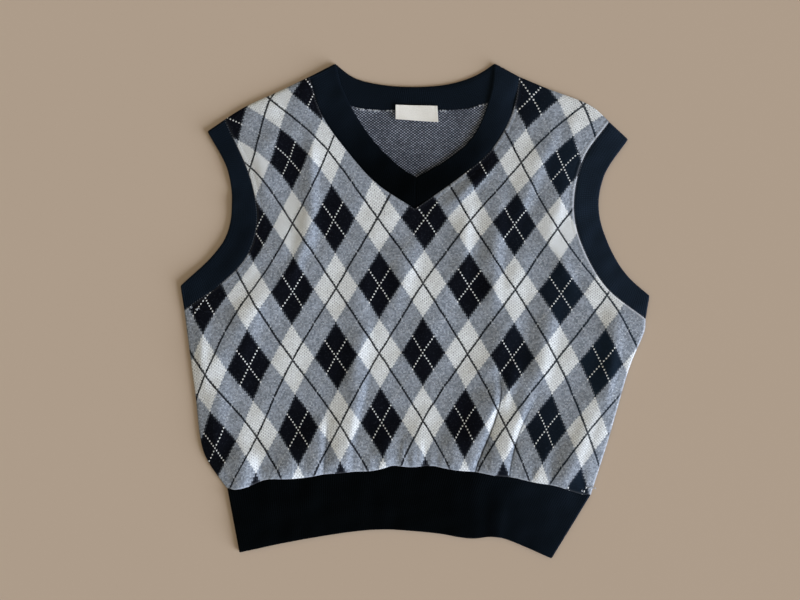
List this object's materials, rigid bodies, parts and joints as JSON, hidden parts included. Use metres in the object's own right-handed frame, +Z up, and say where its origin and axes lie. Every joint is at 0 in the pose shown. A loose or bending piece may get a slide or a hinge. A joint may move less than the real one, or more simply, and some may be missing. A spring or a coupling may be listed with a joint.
{
  "type": "argyle sweater vest",
  "caption": "Sleeveless V-neck argyle knit vest with ribbed neck, arm and hem bands, lying flat with its front up.",
  "frame": {"origin": "centre of the garment's outline, on the surface it lies on", "axes": "+X across the body to the right-hand side of the view from above, +Y from the hem to the neck, +Z up from the surface, out of the front"},
  "size_m": [0.4698, 0.4962, 0.0082],
  "materials": {
    "argyle_knit": "jacquard knit, argyle in black, off-white and heather grey",
    "rib_knit": "1x1 rib, navy black, matt with a soft sheen",
    "woven_label": "bare woven satin tab"
  },
  "bodies": {
    "root": {"front_panel": "argyle_knit", "back_panel": "argyle_knit", "neck_band": "rib_knit", "arm_band_left": "rib_knit", "arm_band_right": "rib_knit", "hem_band": "rib_knit", "neck_label": "woven_label"}
  },
  "joints": []
}
